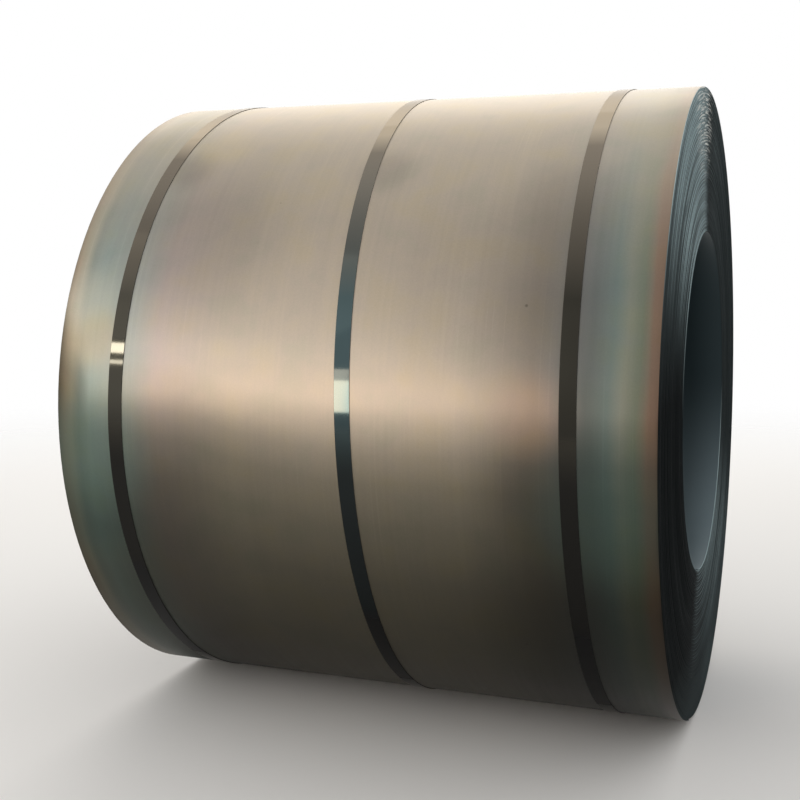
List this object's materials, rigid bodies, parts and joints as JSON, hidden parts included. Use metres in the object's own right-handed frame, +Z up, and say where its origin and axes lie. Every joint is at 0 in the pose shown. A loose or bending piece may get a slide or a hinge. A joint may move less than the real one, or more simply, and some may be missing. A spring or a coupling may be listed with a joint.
{
  "type": "steel coil",
  "caption": "Hot-rolled steel strip wound into a coil round an open eye, lying on its side and held by narrow crimped steel straps.",
  "frame": {"origin": "on the floor, in the middle under the coil, halfway along its axis", "axes": "+X along the coil's axis, +Z up, -Y the front; the strip winds round X and its outer end lies low at the front"},
  "size_m": [1.25, 1.4085, 1.4071],
  "materials": {
    "mill_scale_steel": "hot-rolled mill scale, satin, with heat tints along both edges",
    "strap_steel": "dark varnished strapping steel, glossy",
    "seal_steel": "zinc-coated sheet, satin"
  },
  "bodies": {
    "root": {"coil": "mill_scale_steel", "strap_left": "strap_steel", "strap_middle": "strap_steel", "strap_right": "strap_steel", "seal_left": "seal_steel", "seal_middle": "seal_steel", "seal_right": "seal_steel"}
  },
  "joints": []
}
